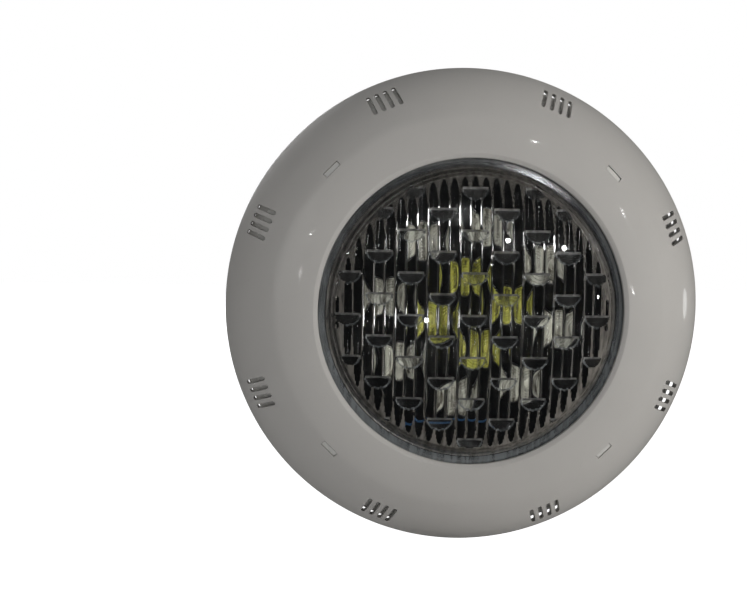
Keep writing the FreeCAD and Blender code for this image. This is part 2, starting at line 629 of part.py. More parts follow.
def make_driver_parts():
    """The parts soldered on the driver board, each standing on its top face."""
    deck = size("driver_top")
    can_radius, can_long = 3.6, 11.0
    cans = []
    for x, y in ((30.0, 34.0), (38.5, 34.0), (-36.0, 26.0)):
        spot = FreeCAD.Vector(x, y - can_long / 2, deck + can_radius)
        can = Part.makeCylinder(can_radius, can_long, spot, FreeCAD.Vector(0, 1, 0))
        cans.append(can.makeFillet(0.6, [can.Edges[0], can.Edges[2]]))
    feature("capacitors", cans)
    coil = Part.makeTorus(6.0, 2.6, FreeCAD.Vector(-34, -22, deck + 2.6), UP)
    feature("choke_coil", [coil])
    core = Part.makeCylinder(6.0, 6.4, FreeCAD.Vector(0, 44, deck), UP)
    groove = Part.makeCylinder(7.0, 4.0, FreeCAD.Vector(0, 44, deck + 1.2), UP)
    groove = groove.cut(Part.makeCylinder(4.4, 4.0, FreeCAD.Vector(0, 44, deck + 1.2), UP))
    feature("power_inductor", [core.cut(groove)])
    bridge = block(38, 6, deck, 9.0, 8.0, 4.2)
    feature("rectifier", [bridge.makeChamfer(0.6, [bridge.Edges[1]])])
    chips = []
    for x, y in ((24, -30), (12, -42), (-8, -46), (-24, -44)):
        chip = block(x, y, deck, 6.0, 5.0, 1.7)
        chips.append(chip)
    feature("driver_chips", chips)
    terminal = block(34, -14, deck, 10.0, 8.0, 7.0)
    for shift in (-2.5, 2.5):
        entry = Part.makeCylinder(1.5, 6.0, FreeCAD.Vector(28.5, -14 + shift * 0.7, deck + 2.4),
                                  FreeCAD.Vector(1, 0, 0))
        terminal = terminal.cut(entry)
        terminal = terminal.cut(Part.makeCylinder(1.4, 3, FreeCAD.Vector(34, -14 + shift, deck + 5),
                                                  UP))
    feature("terminal_block", [terminal])
    receiver = block(-44, 2, deck + 2.0, 16.0, 11.0, 1.0)
    receiver = receiver.fuse(block(-44, 2, deck + 2.9, 6.0, 6.0, 1.6))
    for shift in (-6.0, -3.0, 3.0, 6.0):
        receiver = receiver.fuse(block(-44 + shift, -2.5, deck, 0.8, 0.8, 2.1))
    feature("receiver_module", [receiver])


# ---------------------------------------------------------------- internal wires

LEAD_RADIUS = 0.55


def make_board_leads():
    """Four leads that rise from the driver board through the lead passage."""
    middle = size("lead_turn")
    pitch = size("lead_hole_pitch")
    pad = size("board_top") + LEAD_RADIUS + 0.2
    leads = []
    for index, shift in enumerate((-1.35, -0.45, 0.45, 1.35)):
        fan = middle + shift * 3.2
        inner = middle + shift
        radius = pitch - 0.7
        leads.append(lead([
            polar(61, fan, size("driver_top")), polar(61, fan, 25.6), polar(radius, inner, 26.2),
            polar(radius, inner, pad), polar(66, fan, pad)], LEAD_RADIUS))
    feature("board_leads", leads)


def make_blue_lead():
    """The lead that crosses the front of the mask to its pad."""
    middle = size("lead_turn")
    pitch = size("lead_hole_pitch")
    above = size("mask_top") + 1.3
    feature("blue_lead", [lead([
        polar(64, middle, size("driver_top")), polar(64, middle, 24.0), polar(pitch + 0.9, middle, 24.6),
        polar(pitch + 0.9, middle, above), polar(67.0, middle + 1.5, above),
        polar(61.3, middle + 9, above), polar(57.6, middle + 22, above),
        polar(57.9, middle + 36, above),
        polar(pitch - 11, middle + 44, above), polar(pitch - 11, middle + 44, size("board_top"))],
        LEAD_RADIUS)])


def make_antenna_wire():
    deck = size("driver_top")
    feature("antenna_wire", [lead([
        polar(52, 184, deck), polar(52, 184, deck + 3.2), polar(57, 180, deck + 3.4),
        polar(59, 166, deck + 3.4), polar(57.5, 152, deck + 3.4), polar(55, 140, deck + 3.4)],
        0.4)])


# ---------------------------------------------------------------- cable gland

def make_gland_body():
    body = hexagon("gland_flats", "gland_hex_foot", "shell_foot")
    body = body.fuse(cylinder("gland_nose", "seal_foot", "gland_hex_foot + 1"))
    body = body.fuse(cylinder("gland_thread", "gland_hex_foot", "gland_top"))
    body = body.cut(cylinder("gland_throat", 0, "gland_top + 1"))
    body = body.cut(cylinder("seal_radius", 0, "seal_top"))
    feature("gland_body", [body])


def make_gland_seal():
    seal = cylinder("seal_radius - 0.05", "nut_mouth_top + 0.1", "seal_top - 0.1")
    feature("gland_seal", [seal.cut(cylinder("gland_bore", 0, "seal_top + 1"))])


def make_gland_nut():
    nut = hexagon("nut_flats", "nut_foot + 1", "gland_hex_foot - 0.4")
    nut = nut.fuse(cone("nut_bore + 1.5", "nut_flats / 2", "nut_foot", "nut_foot + 1"))
    nut = nut.cut(cylinder("nut_mouth", 0, "gland_hex_foot"))
    nut = nut.cut(cylinder("nut_bore", "nut_mouth_top", "gland_hex_foot + 1"))
    feature("gland_nut", [nut])


def make_gland_oring():
    height = size("shell_floor") + size("oring_section")
    feature("gland_oring", [Part.makeTorus(
        size("oring_radius"), size("oring_section"), FreeCAD.Vector(0, 0, height), UP)])


def make_gland_locknut():
    foot = "shell_floor + 2 * oring_section"
    nut = hexagon("lock_flats + 3", foot, "lock_top + 1.4")
    feature("gland_locknut", [nut.cut(cylinder("gland_thread + 0.05", 0, "lock_top + 3"))])


make_wall_plate()
make_plate_inserts()
make_mounting_frame()
make_hold_screws()
make_screw_washers()
make_cover_ring()
make_lens()
make_lens_gasket()
make_clamp_ring()
make_clamp_screws()
make_rear_shell()
make_heat_spreader()
make_led_board()
make_optic_mask()
make_leds()
make_optic_holders()
make_optics()
make_standoffs()
make_board_screws()
make_driver_board()
make_driver_spacers()
make_driver_screws()
make_driver_parts()
make_board_leads()
make_blue_lead()
make_antenna_wire()
make_gland_body()
make_gland_seal()
make_gland_nut()
make_gland_oring()
make_gland_locknut()

doc.recompute()
for item in doc.Objects:
    if "Invalid" in item.State or "Error" in item.State:
        raise RuntimeError("%s failed: %s" % (item.Name, item.State))

os.makedirs("parts", exist_ok=True)
nodes = [item for item in doc.Objects if item.TypeId in ("PartDesign::Body", "Part::Feature")]
for node in nodes:
    if node.Shape.isNull() or not node.Shape.isValid():
        raise RuntimeError("%s has no valid shape" % node.Label)
    print("%-16s solids %2d  volume %9.1f" % (node.Label, len(node.Shape.Solids), node.Shape.Volume))
for node in nodes:
    node.Shape.exportStep("parts/%s.step" % node.Label)
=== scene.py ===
import json
import math

import bmesh
import bpy
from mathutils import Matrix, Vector


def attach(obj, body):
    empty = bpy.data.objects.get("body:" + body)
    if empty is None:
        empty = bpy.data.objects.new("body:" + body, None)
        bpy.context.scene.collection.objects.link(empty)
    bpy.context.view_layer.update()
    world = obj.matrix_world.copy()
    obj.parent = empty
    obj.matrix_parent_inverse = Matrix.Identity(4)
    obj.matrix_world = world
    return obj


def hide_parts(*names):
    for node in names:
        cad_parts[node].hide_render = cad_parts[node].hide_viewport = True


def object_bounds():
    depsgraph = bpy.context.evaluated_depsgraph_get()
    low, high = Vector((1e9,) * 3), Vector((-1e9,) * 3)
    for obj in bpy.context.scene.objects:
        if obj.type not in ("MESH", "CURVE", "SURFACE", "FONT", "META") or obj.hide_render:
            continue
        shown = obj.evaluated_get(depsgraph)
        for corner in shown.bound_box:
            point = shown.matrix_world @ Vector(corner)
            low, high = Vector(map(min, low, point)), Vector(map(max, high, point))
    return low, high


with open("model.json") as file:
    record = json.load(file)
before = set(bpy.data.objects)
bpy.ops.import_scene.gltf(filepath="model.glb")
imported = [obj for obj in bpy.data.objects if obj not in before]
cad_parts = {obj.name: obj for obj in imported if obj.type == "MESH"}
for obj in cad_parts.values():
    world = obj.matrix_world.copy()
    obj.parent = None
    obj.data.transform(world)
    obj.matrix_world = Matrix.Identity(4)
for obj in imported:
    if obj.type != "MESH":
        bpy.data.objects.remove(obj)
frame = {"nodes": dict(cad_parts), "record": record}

# Underwater pool light, seen from the water. The light's axis is Y, its front faces -Y
# and +Z is up. Sizes are in millimetres unless a name says otherwise; MM turns them into
# metres. "Depth" is the distance from the pool wall, so y = -depth.

MM = 0.001
CAD_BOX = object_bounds()
scene = bpy.context.scene


def polar(radius, degrees):
    angle = math.radians(degrees)
    return radius * math.cos(angle), radius * math.sin(angle)


def turns(count, first=0.0):
    return [first + 360.0 * i / count for i in range(count)]


# ------------------------------------------------------------------ camera

CAMERA_PLACE = Vector((-58.9, -406.2, 31.0))
CAMERA_TILT, CAMERA_ROLL, CAMERA_PAN = -3.86, -0.76, -1.11
FOCAL_PIXELS, FRAME_WIDTH, SENSOR = 700.0, 747.0, 36.0


def make_camera():
    data = bpy.data.cameras.new("camera")
    data.sensor_width = SENSOR
    data.lens = FOCAL_PIXELS / FRAME_WIDTH * SENSOR
    data.clip_start = 0.01
    camera = bpy.data.objects.new("camera", data)
    camera.location = CAMERA_PLACE * MM
    angles = (90 + CAMERA_TILT, CAMERA_ROLL, CAMERA_PAN)
    camera.rotation_euler = [math.radians(angle) for angle in angles]
    scene.collection.objects.link(camera)
    scene.camera = camera


# ------------------------------------------------------------------ materials

# A colour Mix node repeats its socket names for other kinds of data, so these are the
# places of its colour sockets.
MIX_FACTOR, MIX_LOW, MIX_HIGH, MIX_RESULT = 0, 6, 7, 2

NOISE_LOW, NOISE_HIGH = 0.3, 0.7         # nearly all of a noise lies between these
SPECK_LOW, SPECK_HIGH = 0.68, 0.74       # and only its rare peaks between these
STREAK_LOW, STREAK_HIGH = 0.4, 0.6
SPECK_SIZE, SPECK_SHADE = 0.4, 0.6       # against the grain and the colour
STREAK_DARK, STREAK_PALE = 0.7, 1.3      # against the haze's colour
RIPPLE_SCALE, STREAK_SCALE = 160.0, 420.0         # features per metre across
RIPPLE_STRETCH, STREAK_STRETCH = (1, 1, 0.2), (1, 1, 0.16)
GRAIN_RELIEF, RIPPLE_RELIEF = 0.0005, 0.0003      # metres
COAT_ROUGHNESS, MILK_ROUGHNESS = 0.08, 0.45
# Painted light and shade: between these heights the haze's share changes, making a lens part
# lighter or darker towards the top.
PAINTED_LIGHT_FOOT, PAINTED_LIGHT_HEAD = -0.03, 0.06       # heights in metres between which haze changes


def new_material(name):
    material = bpy.data.materials.new(name)
    material.use_nodes = True
    tree = material.node_tree
    tree.nodes.clear()
    return material, tree


def add(tree, kind, **values):
    """A node, with its properties and its inputs set by name."""
    node = tree.nodes.new(kind)
    for key, value in values.items():
        if hasattr(node, key):
            setattr(node, key, value)
        else:
            node.inputs[key.replace("_", " ")].default_value = value
    return node


def scaled_noise(tree, place, scale, detail=4.0, stretch=(1, 1, 1)):
    """Noise with `scale` features per metre."""
    mapping = add(tree, "ShaderNodeMapping")
    mapping.inputs["Scale"].default_value = stretch
    tree.links.new(place.outputs["Object"], mapping.inputs["Vector"])
    noise = add(tree, "ShaderNodeTexNoise", Scale=scale, Detail=detail, Roughness=0.55)
    tree.links.new(mapping.outputs["Vector"], noise.inputs["Vector"])
    return noise


def ramp(tree, source, low, high, first, last):
    """Runs from `first` to `last` as the source goes from low to high."""
    node = add(tree, "ShaderNodeMapRange")
    node.inputs["From Min"].default_value = low
    node.inputs["From Max"].default_value = high
    node.inputs["To Min"].default_value = first
    node.inputs["To Max"].default_value = last
    tree.links.new(source, node.inputs["Value"])
    return node.outputs["Result"]


def shade(color, factor):
    return [min(1.0, max(0.0, channel * factor)) for channel in color[:3]] + [1.0]


def color_mix(tree, factor, low, high):
    """Runs from `low`, a colour or another node's output, to the colour `high`."""
    mix = add(tree, "ShaderNodeMix", data_type="RGBA")
    mix.inputs[MIX_HIGH].default_value = high
    if isinstance(low, bpy.types.NodeSocket):
        tree.links.new(low, mix.inputs[MIX_LOW])
    else:
        mix.inputs[MIX_LOW].default_value = low
    tree.links.new(factor, mix.inputs[MIX_FACTOR])
    return mix.outputs[MIX_RESULT]


def finish_tree(tree, shader):
    out = add(tree, "ShaderNodeOutputMaterial")
    tree.links.new(shader, out.inputs["Surface"])


def surface(name, color, rough, spread=0.06, blotch=25.0, grain=900.0, bump=0.04,
            metal=0.0, coat=0.0, stretch=(1, 1, 1), edge=0.0, dust=0.0, specular=0.5):
    """A moulded, painted or machined surface: colour that varies in soft blotches, dark
    specks of `dust`, fine grain in the roughness and the bump, and edges that look rounded
    by `edge` millimetres. `blotch` and `grain` are features per metre."""
    material, tree = new_material(name)
    place = add(tree, "ShaderNodeTexCoord")
    coarse = scaled_noise(tree, place, blotch, 3.0)
    fine = scaled_noise(tree, place, grain, 3.0, stretch)
    blotches = ramp(tree, coarse.outputs["Fac"], NOISE_LOW, NOISE_HIGH, 0, 1)
    tint = color_mix(tree, blotches, shade(color, 1 - spread), shade(color, 1 + spread))
    if dust:
        specks = scaled_noise(tree, place, grain * SPECK_SIZE, 2.0)
        dusty = ramp(tree, specks.outputs["Fac"], SPECK_LOW, SPECK_HIGH, 0, dust)
        tint = color_mix(tree, dusty, tint, shade(color, SPECK_SHADE))
    shader = add(tree, "ShaderNodeBsdfPrincipled", Metallic=metal)
    shader.inputs["Specular IOR Level"].default_value = specular
    shader.inputs["Coat Weight"].default_value = coat
    shader.inputs["Coat Roughness"].default_value = COAT_ROUGHNESS
    tree.links.new(tint, shader.inputs["Base Color"])
    grainy = ramp(tree, fine.outputs["Fac"], NOISE_LOW, NOISE_HIGH, rough * 0.85, rough * 1.15)
    tree.links.new(grainy, shader.inputs["Roughness"])
    relief = add(tree, "ShaderNodeBump", Strength=bump, Distance=GRAIN_RELIEF)
    tree.links.new(fine.outputs["Fac"], relief.inputs["Height"])
    if edge:
        bevel = add(tree, "ShaderNodeBevel", samples=4, Radius=edge * MM)
        tree.links.new(bevel.outputs["Normal"], relief.inputs["Normal"])
    tree.links.new(relief.outputs["Normal"], shader.inputs["Normal"])
    finish_tree(tree, shader.outputs["BSDF"])
    return material


def clear(name, color, ior, rough, haze=0.0, haze_color=(0.5, 0.5, 0.5), ripple=0.0,
          haze_top_painted_light=None, streak=0.0):
    """Clear plastic that lamps shine through, with a fine upright ripple and a share of milky
    haze, which is streaked.
    The haze's share may run with height to a second share at the top: this is painted light
    and shade, lighter or darker towards the top."""
    material, tree = new_material(name)
    place = add(tree, "ShaderNodeTexCoord")
    noise = scaled_noise(tree, place, RIPPLE_SCALE, 3.0, RIPPLE_STRETCH)
    glass = add(tree, "ShaderNodeBsdfPrincipled", IOR=ior)
    glass.inputs["Transmission Weight"].default_value = 1.0
    glass.inputs["Base Color"].default_value = color
    patchy = ramp(tree, noise.outputs["Fac"], NOISE_LOW, NOISE_HIGH, rough * 0.5, rough * 1.5)
    tree.links.new(patchy, glass.inputs["Roughness"])
    if ripple:
        relief = add(tree, "ShaderNodeBump", Strength=ripple, Distance=RIPPLE_RELIEF)
        tree.links.new(noise.outputs["Fac"], relief.inputs["Height"])
        tree.links.new(relief.outputs["Normal"], glass.inputs["Normal"])
    top = glass.outputs["BSDF"]
    if haze:
        milk = add(tree, "ShaderNodeBsdfPrincipled", Roughness=MILK_ROUGHNESS)
        streaks = scaled_noise(tree, place, STREAK_SCALE, 3.0, STREAK_STRETCH)
        pale = ramp(tree, streaks.outputs["Fac"], STREAK_LOW, STREAK_HIGH, 0, 1)
        tint = color_mix(tree, pale, shade(haze_color, STREAK_DARK - streak / 2),
                         shade(haze_color, STREAK_PALE))
        tree.links.new(tint, milk.inputs["Base Color"])
        both = add(tree, "ShaderNodeMixShader", Fac=haze)
        # Painted light and shade: the haze's share runs with height, so the plastic looks
        # lighter or darker towards the top.
        if haze_top_painted_light is not None:
            parts = add(tree, "ShaderNodeSeparateXYZ")
            tree.links.new(place.outputs["Object"], parts.inputs[0])
            painted_light_by_height = ramp(tree, parts.outputs["Z"], PAINTED_LIGHT_FOOT, PAINTED_LIGHT_HEAD, haze, haze_top_painted_light)
            tree.links.new(painted_light_by_height, both.inputs[0])
        tree.links.new(top, both.inputs[1])
        tree.links.new(milk.outputs["BSDF"], both.inputs[2])
        top = both.outputs["Shader"]
    rays = add(tree, "ShaderNodeLightPath")
    open_air = add(tree, "ShaderNodeBsdfTransparent")
    lit = add(tree, "ShaderNodeMixShader")
    tree.links.new(rays.outputs["Is Shadow Ray"], lit.inputs[0])
    tree.links.new(top, lit.inputs[1])
    tree.links.new(open_air.outputs["BSDF"], lit.inputs[2])
    finish_tree(tree, lit.outputs["Shader"])
    return material


RING = surface("white_abs_gloss", (0.60, 0.58, 0.555), 0.46, spread=0.025, blotch=14,
               grain=1400, bump=0.02, coat=0.5, edge=0.35, dust=0.12)
LENS = clear("clear_polycarbonate", (0.97, 0.975, 0.965, 1), 1.585, 0.015)
LENS_EDGE = clear("frosted_polycarbonate", (0.9, 0.93, 0.95, 1), 1.585, 0.14,
                  haze=0.42, haze_color=(0.56, 0.56, 0.55))
# Painted light: the moulded side has more haze at the bottom than at the top, which makes it
# lighter at the bottom.
LENS_SIDE = clear("moulded_polycarbonate", (0.9, 0.92, 0.93, 1), 1.585, 0.12,
                  haze=0.70, haze_color=(0.38, 0.355, 0.32), ripple=0.3, haze_top_painted_light=0.32,
                  streak=0.4)
# Painted light: the prisms have more haze at the top, which makes the upper rows greyer and
# lighter than the lower ones.
LENS_PRISM = clear("prism_polycarbonate", (0.92, 0.95, 0.96, 1), 1.585, 0.08,
                   haze=0.01, haze_color=(0.46, 0.46, 0.45), ripple=0.8, haze_top_painted_light=0.10,
                   streak=0.9)
# Painted light: the rim has more haze at the bottom than at the top, which makes it lighter at
# the bottom.
LENS_RIM = clear("rim_polycarbonate", (0.84, 0.90, 0.95, 1), 1.585, 0.10,
                 haze=0.55, haze_color=(0.24, 0.26, 0.27), haze_top_painted_light=0.20)
OUTER_OPTIC = clear("outer_optic", (0.97, 0.96, 0.92, 1), 1.49, 0.05,
                    haze=0.6, haze_color=(1.0, 0.90, 0.68), ripple=1.0, streak=1.2)
INNER_OPTIC = clear("inner_optic", (0.98, 0.97, 0.70, 1), 1.49, 0.05,
                    haze=0.5, haze_color=(0.96, 0.93, 0.16), ripple=1.0, streak=1.2)

FINISHES = {
    "white_abs_structure": surface("white_abs_structure", (0.72, 0.71, 0.68), 0.5, edge=0.3),
    "silicone_gasket": surface("silicone_gasket", (0.13, 0.135, 0.14), 0.6, bump=0.08),
    "clamp_ring_plastic": surface("clamp_ring_plastic", (0.02, 0.022, 0.025), 0.45, edge=0.3),
    "shell_plastic": surface("shell_plastic", (0.5, 0.49, 0.47), 0.5, edge=0.3),
    "aluminium_plate": surface("aluminium_plate", (0.7, 0.71, 0.72), 0.32, metal=1.0,
                               stretch=(1, 1, 8), grain=300, bump=0.08),
    "board_black": surface("board_black", (0.004, 0.0045, 0.005), 0.5, bump=0.02,
                           specular=0.25),
    "black_mask": surface("black_mask", (0.001, 0.001, 0.0011), 0.7, bump=0.05,
                          specular=0.05),
    "colour_led": surface("colour_led", (0.8, 0.8, 0.76), 0.25, coat=0.5),
    "white_led": surface("white_led", (0.8, 0.66, 0.08), 0.25, coat=0.5),
    "holder_plastic": surface("holder_plastic", (0.012, 0.012, 0.013), 0.38, edge=0.2),
    "stainless_screw": surface("stainless_screw", (0.62, 0.62, 0.63), 0.28, metal=1.0,
                               edge=0.15),
    "brass_insert": surface("brass_insert", (0.66, 0.47, 0.19), 0.33, metal=1.0, edge=0.15),
    "brass_standoff": surface("brass_standoff", (0.66, 0.47, 0.19), 0.28, metal=1.0,
                              edge=0.15),
    "nylon_washer": surface("nylon_washer", (0.72, 0.71, 0.66), 0.5, edge=0.1),
    "nylon_spacer": surface("nylon_spacer", (0.72, 0.71, 0.66), 0.5, edge=0.1),
    "driver_laminate": surface("driver_laminate", (0.02, 0.14, 0.05), 0.35, bump=0.06),
    "capacitor_sleeve": surface("capacitor_sleeve", (0.015, 0.02, 0.05), 0.3, edge=0.3),
    "copper_winding": surface("copper_winding", (0.62, 0.22, 0.08), 0.3, metal=1.0,
                              grain=1500, bump=0.25),
    "ferrite": surface("ferrite", (0.03, 0.03, 0.032), 0.55, bump=0.12),
    "black_epoxy": surface("black_epoxy", (0.02, 0.02, 0.02), 0.5, bump=0.1, edge=0.15),
    "terminal_plastic": surface("terminal_plastic", (0.02, 0.2, 0.06), 0.35, edge=0.2),
    "receiver_laminate": surface("receiver_laminate", (0.01, 0.03, 0.2), 0.35, bump=0.06),
    "red_insulation": surface("red_insulation", (0.45, 0.02, 0.02), 0.4),
    "blue_insulation": surface("blue_insulation", (0.015, 0.07, 0.17), 0.4),
    "antenna_insulation": surface("antenna_insulation", (0.5, 0.5, 0.48), 0.4),
    "gland_nylon": surface("gland_nylon", (0.012, 0.012, 0.014), 0.42, edge=0.3),
    "gland_rubber": surface("gland_rubber", (0.01, 0.01, 0.011), 0.7, bump=0.1),
}


def finish_nodes(skip):
    """Every CAD node that still shows takes the finish of its record slot."""
    for part in frame["record"]["subparts"]:
        if part["node"] in skip:
            continue
        mesh = frame["nodes"][part["node"]].data
        mesh.materials.clear()
        mesh.materials.append(FINISHES[part["material_slot"]])
        mesh.shade_smooth()
        mesh.set_sharp_from_angle(angle=math.radians(35))


# ------------------------------------------------------------------ mesh helpers

def arc(start, end, radius, steps):
    """Points after `start` up to `end` on an arc, which bulges to the right of its run if
    the radius is positive."""
    chord = Vector((end[0] - start[0], end[1] - start[1]))
    half = chord.length / 2
    normal = Vector((chord.y, -chord.x)).normalized() * (-1 if radius > 0 else 1)
    middle = Vector(start) + chord / 2
    rise = math.sqrt(radius * radius - half * half)
    centre = middle + normal * rise
    first = math.atan2(start[1] - centre.y, start[0] - centre.x)
    last = math.atan2(end[1] - centre.y, end[0] - centre.x)
    sweep = (last - first + math.pi) % (2 * math.pi) - math.pi
    points = []
    for i in range(1, steps + 1):
        angle = first + sweep * i / steps
        points.append((centre.x + abs(radius) * math.cos(angle),
                       centre.y + abs(radius) * math.sin(angle)))
    return points


FLAT_BEND, CORNER_SHARE = 12.0, 0.45     # degrees, and the most of a side that rounding takes


def softened(profile, radius, steps=3):
    """The closed profile with each corner rounded, as moulding leaves it."""
    count = len(profile)
    result = []
    for i, corner in enumerate(profile):
        here = Vector(corner)
        back = Vector(profile[i - 1]) - here
        ahead = Vector(profile[(i + 1) % count]) - here
        bend = math.pi - back.angle(ahead)
        if bend < math.radians(FLAT_BEND):
            result.append(corner)
            continue
        cut = min(radius * math.tan(bend / 2),
                  back.length * CORNER_SHARE, ahead.length * CORNER_SHARE)
        start = here + back.normalized() * cut
        end = here + ahead.normalized() * cut
        for k in range(steps + 1):
            t = k / steps
            spot = start * (1 - t) ** 2 + here * 2 * t * (1 - t) + end * t * t
            result.append((spot.x, spot.y))
    return result


def make_mesh(name, points, faces, sharp=30.0):
    """Points are (x, z, depth) in millimetres."""
    mesh = bpy.data.meshes.new(name)
    mesh.from_pydata([(x * MM, -depth * MM, z * MM) for x, z, depth in points], [], faces)
    mesh.validate()
    tidy = bmesh.new()
    tidy.from_mesh(mesh)
    bmesh.ops.recalc_face_normals(tidy, faces=tidy.faces)
    tidy.to_mesh(mesh)
    tidy.free()
    mesh.shade_smooth()
    mesh.set_sharp_from_angle(angle=math.radians(sharp))
    thing = bpy.data.objects.new(name, mesh)
    scene.collection.objects.link(thing)
    return thing


def lathe(profile, segments):
    """Points and faces of a closed profile of (radius, depth) turned about the axis."""
    points, faces = [], []
    size = len(profile)
    for i in range(segments):
        x, z = polar(1.0, 360.0 * i / segments)
        points += [(x * radius, z * radius, depth) for radius, depth in profile]
    for i in range(segments):
        here, there = i * size, ((i + 1) % segments) * size
        for k in range(size):
            n = (k + 1) % size
            faces.append((here + k, here + n, there + n, there + k))
    return points, faces


def cut_away(thing, cutter):
    modifier = thing.modifiers.new("cut", "BOOLEAN")
    modifier.object = cutter
    modifier.operation = "DIFFERENCE"
    modifier.solver = "EXACT"
    graph = bpy.context.evaluated_depsgraph_get()
    result = bpy.data.meshes.new_from_object(thing.evaluated_get(graph))
    thing.modifiers.clear()
    thing.data = result
    bpy.data.objects.remove(cutter)


# ------------------------------------------------------------------ cover ring

# The ring's section in (radius, depth): its foot, its front from the edge over a bevel and
# a crease to the lip round the lens, and a skirt behind the windows.
RING_EDGE, RING_BEVEL, RING_CREASE = (135.0, 7.5), (107.3, 35.6), (102.3, 38.2)
RING_LIP, UNDER_LIP = (83.0, 42.5), (83.0, 39.9)
RING_FOOT, FOOT_INNER = 6.0, 132.4
LIP_INNER, LIP_TOP = 80.6, 41.7
SKIRT_INNER, SKIRT_OUTER, SKIRT_FOOT, SKIRT_HEAD = 99.6, 101.6, 28.5, 36.8
UNDER_CREASE, UNDER_BEVEL = (SKIRT_OUTER, 35.9), (105.6, 33.4)
RING_ROUNDING, RING_SEGMENTS = 0.7, 576
SLOT_INNER, SLOT_OUTER, SLOT_WIDE, SLOT_PITCH = 115.7, 127.9, 2.4, 4.9
SLOT_GROUPS, SLOT_TURN, SLOT_STEPS, SLOT_DEEP = 8, 22.5, (-1.5, -0.5, 0.5, 1.5), 2.0
WINDOW_INNER, WINDOW_OUTER, WINDOW_WIDE, WINDOW_DEEP = 103.35, 106.25, 9.8, 20.0
WINDOW_COUNT, WINDOW_TURN = 4, 45.0
CUTTER_HEAD = 45.0


def prism(outline, low, high, turn):
    """Points and faces of an outline of (along, across), stood on the turned radius."""
    angle = math.radians(turn)
    along = Vector((math.cos(angle), math.sin(angle)))
    across = Vector((-along.y, along.x))
    points = []
    for depth in (low, high):
        for u, v in outline:
            spot = along * u + across * v
            points.append((spot.x, spot.y, depth))
    size = len(outline)
    faces = [tuple(range(size)), tuple(range(2 * size - 1, size - 1, -1))]
    for i in range(size):
        n = (i + 1) % size
        faces.append((i, i + size, n + size, n))
    return points, faces


def obround(inner, outer, middle, wide, steps=8):
    half = wide / 2
    outline = []
    for centre, first in ((outer - half, -90.0), (inner + half, 90.0)):
        for i in range(steps + 1):
            u, v = polar(half, first + 180.0 * i / steps)
            outline.append((centre + u, middle + v))
    return outline


def join(parts):
    points, faces = [], []
    for some_points, some_faces in parts:
        base = len(points)
        points += some_points
        faces += [tuple(base + i for i in face) for face in some_faces]
    return points, faces


def ring_section():
    front = [(FOOT_INNER, RING_FOOT), (RING_EDGE[0], RING_FOOT), RING_EDGE]
    front += arc(RING_EDGE, RING_BEVEL, radius=78.0, steps=16)
    front += arc(RING_BEVEL, RING_CREASE, radius=30.0, steps=4)
    front += arc(RING_CREASE, RING_LIP, radius=85.0, steps=14)
    back = [(LIP_INNER, LIP_TOP), (LIP_INNER, UNDER_LIP[1]), UNDER_LIP]
    back += arc(UNDER_LIP, (SKIRT_INNER, SKIRT_HEAD), radius=-85.0, steps=8)
    back += [(SKIRT_INNER, SKIRT_FOOT), (SKIRT_OUTER, SKIRT_FOOT), UNDER_CREASE, UNDER_BEVEL]
    back += arc(UNDER_BEVEL, (FOOT_INNER, RING_FOOT), radius=-74.0, steps=14)[:-1]
    return front + back


def make_cover():
    points, faces = lathe(softened(ring_section(), RING_ROUNDING), RING_SEGMENTS)
    ring = make_mesh("cover_ring_moulded", points, faces)
    slots = []
    for turn in turns(SLOT_GROUPS, SLOT_TURN):
        for step in SLOT_STEPS:
            outline = obround(SLOT_INNER, SLOT_OUTER, step * SLOT_PITCH, SLOT_WIDE)
            slots.append(prism(outline, SLOT_DEEP, CUTTER_HEAD, turn))
    half = WINDOW_WIDE / 2
    window = [(WINDOW_INNER, -half), (WINDOW_OUTER, -half),
              (WINDOW_OUTER, half), (WINDOW_INNER, half)]
    windows = [prism(window, WINDOW_DEEP, CUTTER_HEAD, turn)
               for turn in turns(WINDOW_COUNT, WINDOW_TURN)]
    cut_away(ring, make_mesh("cutter", *join(slots + windows)))
    ring.data.shade_smooth()
    ring.data.set_sharp_from_angle(angle=math.radians(24))
    ring.data.materials.clear()
    ring.data.materials.append(RING)
    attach(ring, "cover")
    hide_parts("cover_ring")


# ------------------------------------------------------------------ lens

# The dome's inner side carries upright flutes in columns of three, and a half-moon prism
# in every second cell of each column, its flat edge upwards. Round them runs a smooth bowl.
DOME_TOP, DOME_EDGE, DOME_EDGE_TOP, SKIN = 52.6, 72.5, 47.2, 3.0
CONE_FOOT, BAND_TOP, BAND_RADIUS = 76.5, 39.5, 82.5
FLANGE_RADIUS, FLANGE_TOP, FLANGE_FOOT = 90.0, 34.5, 31.5
FLUTE, FLUTE_SAG = 5.4, 1.4              # width and depth of a flute
FLUTE_CUTS = (0.0, 0.3, 0.65, 1.05, 1.55, 2.1, 2.7, 3.3, 3.85, 4.35, 4.75, 5.1)
COLUMN, ROW, ROW_STEPS, ROW_START = 16.2, 10.86, 18, -1.24
PRISM_HALF, PRISM_TALL, PRISM_HIGH, LEDGE = 6.8, 5.5, 2.9, 1.2
PRISM_CROWN, PRISM_FALL = 0.35, 0.8      # how far it drops to its sides and its foot
LEDGE_STEEP, RIM_STEEP = 8, 9            # how quickly its ends and its round rim rise
OPTIC_CLEAR, OPTIC_SPREAD = 39.0, 57.5   # no prism reaches below this depth over the optics
BOWL_START, BOWL_SLOPE, BOWL_WALL, BOWL_CURL = 59.0, 0.12, 70.6, 1.1
SEAM_RADIUS = 75.0
DOME_RISE = DOME_TOP - DOME_EDGE_TOP
DOME_RADIUS = (DOME_EDGE ** 2 + DOME_RISE ** 2) / 2 / DOME_RISE
LENS_FLOOR = BAND_TOP - SKIN
LENS_FINISHES = (LENS, LENS_EDGE, LENS_SIDE, LENS_PRISM, LENS_RIM)
